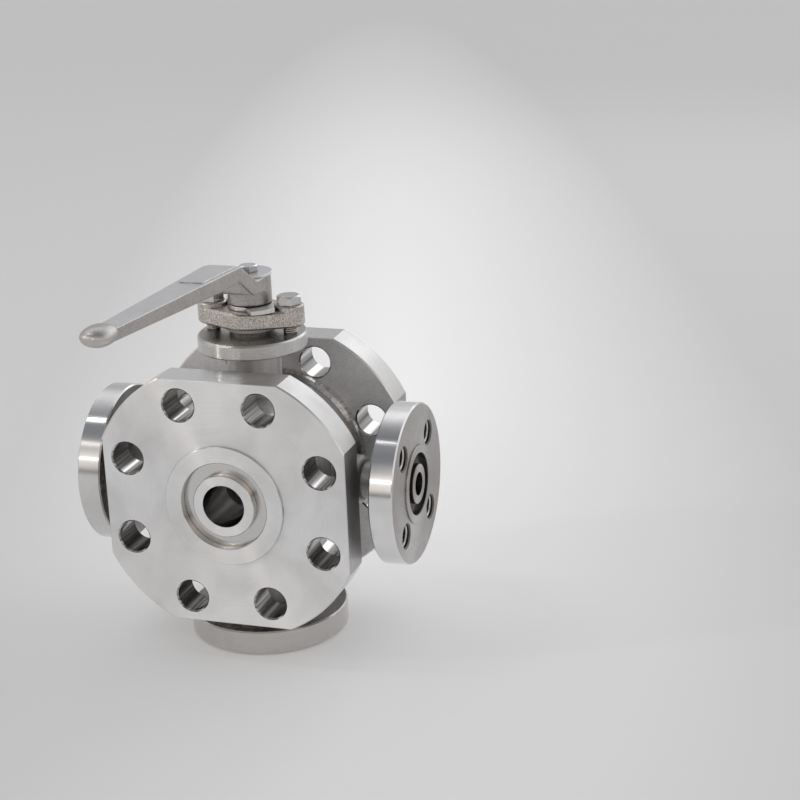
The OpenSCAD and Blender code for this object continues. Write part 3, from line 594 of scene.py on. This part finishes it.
def in_main_hole(place):
    """Whether a place lies in one of the holes of the main flanges or on their chamfers."""
    for i in range(MAIN_BOLTS):
        angle = 2 * math.pi * (i + 0.5) / MAIN_BOLTS
        off_x = place.x - MAIN_BOLT_CIRCLE * math.cos(angle)
        off_z = place.z - MAIN_BOLT_CIRCLE * math.sin(angle)
        if math.hypot(off_x, off_z) < MAIN_HOLE_RADIUS + MAIN_HOLE_CHAMFER + HAIR:
            return True
    return False


def body_finish(place, normal):
    along_flow = abs(place.y)
    if math.hypot(place.x, place.z) < GROOVE_OUTER + HAIR:
        return seal_finish(place, normal) if along_flow > CHAMBER_END else "bore_wall"
    if along_flow > MAIN_FLANGE_BACK - HAIR:
        if abs(normal.y) > LOOKS_ALONG:
            return "turned_face" if along_flow > MAIN_FLANGE_BACK + STEP else "blasted"
        if in_main_hole(place):
            return "drilled_hole"
        return "milled_side" if abs(normal.x) > LOOKS_SQUARE else "turned_rim"
    if place.z > PAD_BOTTOM - HAIR and normal.z > LOOKS_ALONG:
        return "pad_top"
    if place.z > PAD_BOTTOM + HAIR and math.hypot(place.x, place.y) > PAD_RIM_START:
        return "pad_rim"
    return "neck" if place.z > NECK_START else "blasted"


def shell_finish(place, normal):
    """The thick rings beside the flanges are ground, the drum and bosses are as cast."""
    beside_flange = abs(place.y) > SHELL_RING_START
    on_ring = math.hypot(place.x, place.z) > SHELL_RADIUS + HAIR
    return "ground_band" if beside_flange and on_ring else "cast_steel"


def port_finish(key, direction):
    """Rule for a port flange whose axis points in the given direction."""
    def rule(place, normal):
        along = place.dot(direction)
        radius = (place - along * direction).length
        facing = normal.dot(direction)
        if facing < -LOOKS_ALONG and along < PORT_BACK + STEP:
            return "port_back"
        if abs(facing) > LOOKS_ALONG:
            return key + "_port_face"
        if radius > PORT_RIM_START:
            return key + "_port_rim"
        if radius > PORT_RING_START and along > PORT_FACE - HAIR:
            return key + "_port_face"
        return key + "_port_hole"
    return rule


def gland_finish(place, normal):
    """The foot under the gland flange gets a paler, non-metal copy of the flange's skin, as
    painted light where the flange shades it.
    """
    foot = place.z < GLAND_UNDERSIDE and normal.z > -LOOKS_ALONG
    return "sand_cast_foot" if foot else "sand_cast_steel"


def gland_bolt_finish(place, normal):
    """The shank between the ridges of its thread is painted dark, as shade in the thread's
    roots.
    """
    from_bolt = math.hypot(abs(place.x) - GLAND_BOLT_PLACE, place.y)
    shank = from_bolt < GLAND_BOLT_RADIUS + HAIR and abs(normal.z) < BOLT_TOP_LOOKS
    return "thread_root" if shank else "bolt_steel"


def lever_finish(place, normal):
    """The upper side of the lever gets a lighter copy of its finish than its flanks, as painted
    light from above, and the knob one even finish.
    """
    if place.y < KNOB_START:
        return "lever_knob"
    return "lever_rubbed" if normal.z > LEVER_TOP_LOOKS else "lever_casting"


def lever_bolt_finish(place, normal):
    """The head's top keeps the plating's bright tone; its flanks and shank get a darker copy, as
    painted shade.
    """
    return "zinc_plate" if normal.z > BOLT_TOP_LOOKS else "zinc_flank"


def even_finish(key):
    """Rule for a node with one finish all over."""
    return lambda place, normal: key


def paint(node_name, rule):
    """Gives every face of a node its own finish through material slots."""
    mesh = nodes[node_name].data
    mesh.materials.clear()
    order = []
    for face in mesh.polygons:
        key = rule(face.center - BALL_CENTRE, face.normal)
        if key not in order:
            order.append(key)
            mesh.materials.append(finishes[key])
        face.material_index = order.index(key)


RULES = {
    "valve_body": body_finish,
    "body_insert": seal_finish,
    "jacket_shell": shell_finish,
    "left_port_flange": port_finish("left", -ACROSS),
    "right_port_flange": port_finish("right", ACROSS),
    "bottom_port_flange": port_finish("bottom", -UP),
    "gland_flange": gland_finish,
    "gland_bolts": gland_bolt_finish,
    "lever": lever_finish,
    "lever_bolt": lever_bolt_finish,
}
for subpart in frame["record"]["subparts"]:
    rule = RULES.get(subpart["node"]) or even_finish(subpart["material_slot"])
    paint(subpart["node"], rule)


# Threads of the tapped holes and the gland bolts

def add_thread(points, faces, foot, axes, radii, pitch, length):
    """One helical ridge that starts at foot and fades out at both ends.

    The axes are along, first and second. The radii are those of the wall and the crest.
    """
    along, first, second = axes
    wall, crest = radii
    foot_half = pitch * RIDGE_FOOT_HALF
    crest_half = pitch * RIDGE_CREST_HALF
    steps = int((length - 2 * foot_half) / pitch * RIDGE_STEPS_PER_TURN)
    start = len(points)
    for i in range(steps + 1):
        angle = 2 * math.pi * i / RIDGE_STEPS_PER_TURN
        middle = foot_half + pitch * i / RIDGE_STEPS_PER_TURN
        fade = min(1.0, (i + 0.5) / RIDGE_FADE_STEPS, (steps - i + 0.5) / RIDGE_FADE_STEPS)
        tip = wall + (crest - wall) * fade
        outward = math.cos(angle) * first + math.sin(angle) * second
        for radius, shift in ((wall, -foot_half), (tip, -crest_half),
                              (tip, crest_half), (wall, foot_half)):
            points.append(foot + outward * radius + along * (middle + shift))
    for i in range(steps):
        a, b = start + 4 * i, start + 4 * (i + 1)
        faces += [(a + k, a + (k + 1) % 4, b + (k + 1) % 4, b + k) for k in range(4)]
    end = start + 4 * steps
    faces += [(start + 3, start + 2, start + 1, start), (end, end + 1, end + 2, end + 3)]


def thread_piece(name, feet, axes, radii, pitch, length):
    """Ridges of one size that start at each foot, as one piece on the housing."""
    points, faces = [], []
    for foot in feet:
        add_thread(points, faces, foot, axes, radii, pitch, length)
    mesh = bpy.data.meshes.new(name)
    mesh.from_pydata(points, [], faces)
    shell = bmesh.new()
    shell.from_mesh(mesh)
    bmesh.ops.recalc_face_normals(shell, faces=shell.faces)
    shell.to_mesh(mesh)
    shell.free()
    mesh.materials.append(finishes["cut_thread"])
    piece = bpy.data.objects.new(name, mesh)
    bpy.context.scene.collection.objects.link(piece)
    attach(piece, "housing")


def port_threads(name, along, first, second):
    """Thread in the four tapped holes of one port flange."""
    reach = PORT_BOLT_CIRCLE * math.sqrt(0.5)
    back = BALL_CENTRE + along * (PORT_BACK + PORT_HOLE_CHAMFER)
    feet = [back + first * (i * reach) + second * (j * reach)
            for i, j in ((1, 1), (1, -1), (-1, 1), (-1, -1))]
    thread_piece(name, feet, (along, first, second),
                 (PORT_HOLE_RADIUS + THREAD_OVERLAP, PORT_THREAD_CREST), PORT_THREAD_PITCH,
                 PORT_FACE - PORT_BACK - 2 * PORT_HOLE_CHAMFER)


def gland_bolt_threads():
    """Thread on the part of the gland bolts' shanks that shows above the pad."""
    feet = [BALL_CENTRE + ACROSS * (side * GLAND_BOLT_PLACE) + UP * PAD_TOP for side in (-1, 1)]
    thread_piece("gland_bolt_threads", feet, (UP, ACROSS, FLOW),
                 (GLAND_BOLT_RADIUS - THREAD_OVERLAP, GLAND_THREAD_CREST), GLAND_THREAD_PITCH,
                 GLAND_UNDERSIDE - PAD_TOP)


port_threads("left_port_threads", -ACROSS, UP, FLOW)
port_threads("right_port_threads", ACROSS, FLOW, UP)
port_threads("bottom_port_threads", -UP, FLOW, ACROSS)
gland_bolt_threads()


# Floor, light and camera

FLOOR_RADIUS = 8.0
FLOOR_RINGS = 40
FLOOR_STEPS = 64
# tones, middle, heading and reaches of a pool of light painted on the floor paper
PAPER_IN_LIGHT_POOL = (0.92, 0.92, 0.92)
PAPER_BEYOND_LIGHT_POOL = (0.60, 0.60, 0.60)
LIGHT_POOL_MIDDLE = (-0.05, 0.42, 0)
LIGHT_POOL_HEADING = Vector((-0.318, 0.948, 0))
LIGHT_POOL_ASIDE = Vector((0.948, 0.318, 0))
LIGHT_POOL_REACH_FAR = 2.6
LIGHT_POOL_REACH_NEAR = 0.95
LIGHT_POOL_REACH_ASIDE = 0.30
PAPER_GLOW_SEEN = 0.20
PAPER_GLOW_MIRRORED = 0.36


def paper_material():
    """Pale paper with a painted pool of light: lighter in a long patch behind the object, which
    fades out on all sides.
    """
    material, shader, tree = new_material("floor_paper", (0.8, 0.8, 0.8), 0.0, 0.9)
    place = object_place(tree, LIGHT_POOL_MIDDLE)
    ahead = vector_node(tree, "DOT_PRODUCT", place, LIGHT_POOL_HEADING)
    beside = vector_node(tree, "DOT_PRODUCT", place, LIGHT_POOL_ASIDE)
    far = math_node(tree, "DIVIDE", ahead, LIGHT_POOL_REACH_FAR)
    near = math_node(tree, "DIVIDE", ahead, -LIGHT_POOL_REACH_NEAR)
    spread = add_node(tree, "ShaderNodeCombineXYZ", X=math_node(tree, "MAXIMUM", far, near),
                      Y=math_node(tree, "DIVIDE", beside, LIGHT_POOL_REACH_ASIDE))
    distance = vector_node(tree, "LENGTH", spread.outputs["Vector"])
    # the painted pool of light fades out toward the paper's darker tone
    fade = ramp_between(tree, distance, 0.0, 1.0, 0.0, 1.0)
    paper = mix_color(tree, fade, PAPER_IN_LIGHT_POOL, PAPER_BEYOND_LIGHT_POOL)
    path = tree.nodes.new("ShaderNodeLightPath").outputs
    seen = math_node(tree, "MULTIPLY", path["Is Camera Ray"], PAPER_GLOW_SEEN)
    mirrored = math_node(tree, "MULTIPLY", path["Is Glossy Ray"], PAPER_GLOW_MIRRORED)
    feed(tree, shader.inputs["Base Color"], paper)
    feed(tree, shader.inputs["Emission Color"], paper)
    feed(tree, shader.inputs["Emission Strength"], math_node(tree, "ADD", seen, mirrored))
    return material


def floor():
    """Round floor of rings that are close together near the object."""
    points = [(0, 0, 0)]
    for i in range(1, FLOOR_RINGS + 1):
        radius = FLOOR_RADIUS * (i / FLOOR_RINGS) ** 2
        for j in range(FLOOR_STEPS):
            angle = 2 * math.pi * j / FLOOR_STEPS
            points.append((radius * math.cos(angle), radius * math.sin(angle), 0))
    following = [(j, (j + 1) % FLOOR_STEPS) for j in range(FLOOR_STEPS)]
    faces = [(0, 1 + j, 1 + k) for j, k in following]
    for i in range(FLOOR_RINGS - 1):
        inner, outer = 1 + i * FLOOR_STEPS, 1 + (i + 1) * FLOOR_STEPS
        faces += [(inner + j, outer + j, outer + k, inner + k) for j, k in following]
    mesh = bpy.data.meshes.new("studio_floor")
    mesh.from_pydata(points, [], faces)
    mesh.materials.append(paper_material())
    obj = bpy.data.objects.new("studio_floor", mesh)
    bpy.context.scene.collection.objects.link(obj)


def softbox(name, place, target, width, height, power, color=(1, 1, 1)):
    """Rectangular lamp in metres and watts that looks at its target and isn't seen itself."""
    light = bpy.data.lights.new(name, "AREA")
    light.shape = "RECTANGLE"
    light.size = width
    light.size_y = height
    light.energy = power
    light.color = color
    obj = bpy.data.objects.new(name, light)
    bpy.context.scene.collection.objects.link(obj)
    obj.location = place
    direction = Vector(target) - Vector(place)
    obj.rotation_euler = direction.to_track_quat("-Z", "Y").to_euler()
    obj.visible_camera = False


def lamps():
    middle = (0, 0, 0.1)
    softbox("ceiling", (-0.75, -0.24, 1.35), (-0.75, 0, 0.1), width=0.5, height=0.07, power=1.3)
    for i, x in enumerate((-0.70, -0.53, -0.41, -0.25, -0.14)):
        softbox("front_tube_%d" % i, (x, -1.40, 0.62), middle, width=0.015, height=0.05,
                power=0.16, color=(1.0, 0.99, 0.97))
    softbox("lamp_left", (-1.17, -0.70, 0.80), middle, width=0.05, height=0.12, power=1.6,
            color=(1.0, 0.95, 0.88))
    softbox("window_back", (0.15, 1.6, 0.95), middle, width=1.0, height=0.6, power=1.6)


# Tones of the studio round the object, from the horizon at 0 to straight up at 1, and the
# parts of a direction to the right and to the rear over which they change into each other
SIDE_CHANGE = (-0.22, 0.15)
REAR_CHANGE = (-0.15, 0.35)
FRONT_TONES = (
    (0.00, (0.24, 0.23, 0.22)), (0.03, (0.27, 0.25, 0.24)), (0.07, (0.60, 0.56, 0.53)),
    (0.13, (0.98, 0.92, 0.88)), (0.27, (1.10, 1.04, 0.99)), (0.42, (1.06, 1.02, 0.98)),
    (0.49, (0.66, 0.65, 0.64)), (0.62, (0.50, 0.50, 0.51)), (0.70, (0.27, 0.28, 0.30)),
    (0.80, (0.24, 0.25, 0.27)), (0.88, (0.30, 0.31, 0.33)), (0.91, (0.34, 0.35, 0.37)),
    (0.94, (0.17, 0.18, 0.19)), (1.00, (0.16, 0.17, 0.18)))
REAR_LEFT_TONES = (
    (0.00, (0.62, 0.62, 0.63)), (0.32, (0.48, 0.48, 0.49)), (0.45, (0.50, 0.50, 0.51)),
    (0.55, (0.74, 0.74, 0.75)), (0.66, (1.15, 1.15, 1.17)), (0.79, (1.22, 1.22, 1.24)),
    (0.85, (0.85, 0.85, 0.87)), (0.91, (0.40, 0.40, 0.42)), (1.00, (0.20, 0.20, 0.22)))
REAR_RIGHT_TONES = (
    (0.00, (0.55, 0.55, 0.55)), (0.10, (0.78, 0.78, 0.78)), (0.30, (1.08, 1.08, 1.09)),
    (0.43, (1.25, 1.25, 1.26)), (0.74, (1.20, 1.20, 1.22)), (0.80, (0.70, 0.70, 0.72)),
    (0.87, (0.48, 0.48, 0.50)), (1.00, (0.46, 0.46, 0.48)))


def sky_ramp(tree, height, stops):
    """Studio tone by height over the horizon."""
    node = tree.nodes.new("ShaderNodeValToRGB")
    feed(tree, node.inputs["Fac"], height)
    elements = node.color_ramp.elements
    elements[0].position, elements[1].position = stops[0][0], stops[-1][0]
    elements[0].color, elements[1].color = (*stops[0][1], 1), (*stops[-1][1], 1)
    for position, color in stops[1:-1]:
        elements.new(position).color = (*color, 1)
    return node.outputs["Color"]


def studio():
    """World whose tone goes by height, in front, behind to the left and behind to the right."""
    world = bpy.data.worlds.new("studio")
    world.use_nodes = True
    bpy.context.scene.world = world
    tree = world.node_tree
    direction = tree.nodes.new("ShaderNodeTexCoord").outputs["Generated"]
    axes = add_node(tree, "ShaderNodeSeparateXYZ", Vector=direction).outputs
    front, rear_left, rear_right = (
        sky_ramp(tree, axes["Z"], tones)
        for tones in (FRONT_TONES, REAR_LEFT_TONES, REAR_RIGHT_TONES))
    to_right = ramp_between(tree, axes["X"], *SIDE_CHANGE, 0.0, 1.0)
    to_rear = ramp_between(tree, axes["Y"], *REAR_CHANGE, 0.0, 1.0)
    rear = mix_color(tree, to_right, rear_left, rear_right)
    background = tree.nodes["Background"]
    background.inputs["Strength"].default_value = 1.0
    feed(tree, background.inputs["Color"], mix_color(tree, to_rear, front, rear))


def place_camera():
    """Pinhole camera fitted to the photo's rims and corners, aimed past the ball centre."""
    azimuth, elevation, roll = (
        math.radians(angle) for angle in (CAMERA_AZIMUTH, CAMERA_ELEVATION, CAMERA_ROLL))
    back = Vector((math.sin(azimuth) * math.cos(elevation),
                   -math.cos(azimuth) * math.cos(elevation), math.sin(elevation)))
    level_right = UP.cross(back).normalized()
    level_up = back.cross(level_right)
    right = math.cos(roll) * level_right + math.sin(roll) * level_up
    up = -math.sin(roll) * level_right + math.cos(roll) * level_up
    camera = bpy.data.cameras.new("camera")
    camera.sensor_width = SENSOR_WIDTH
    camera.lens = FOCAL_PIXELS / PHOTO_PIXELS * SENSOR_WIDTH
    obj = bpy.data.objects.new("camera", camera)
    bpy.context.scene.collection.objects.link(obj)
    location = (BALL_CENTRE + CAMERA_TO_THE_RIGHT * right + CAMERA_UPWARD * up
                + CAMERA_DISTANCE * back)
    obj.matrix_world = Matrix((
        (right.x, up.x, back.x, location.x),
        (right.y, up.y, back.y, location.y),
        (right.z, up.z, back.z, location.z),
        (0, 0, 0, 1)))
    bpy.context.scene.camera = obj


floor()
lamps()
studio()
place_camera()
bpy.context.scene.view_settings.view_transform = "Standard"
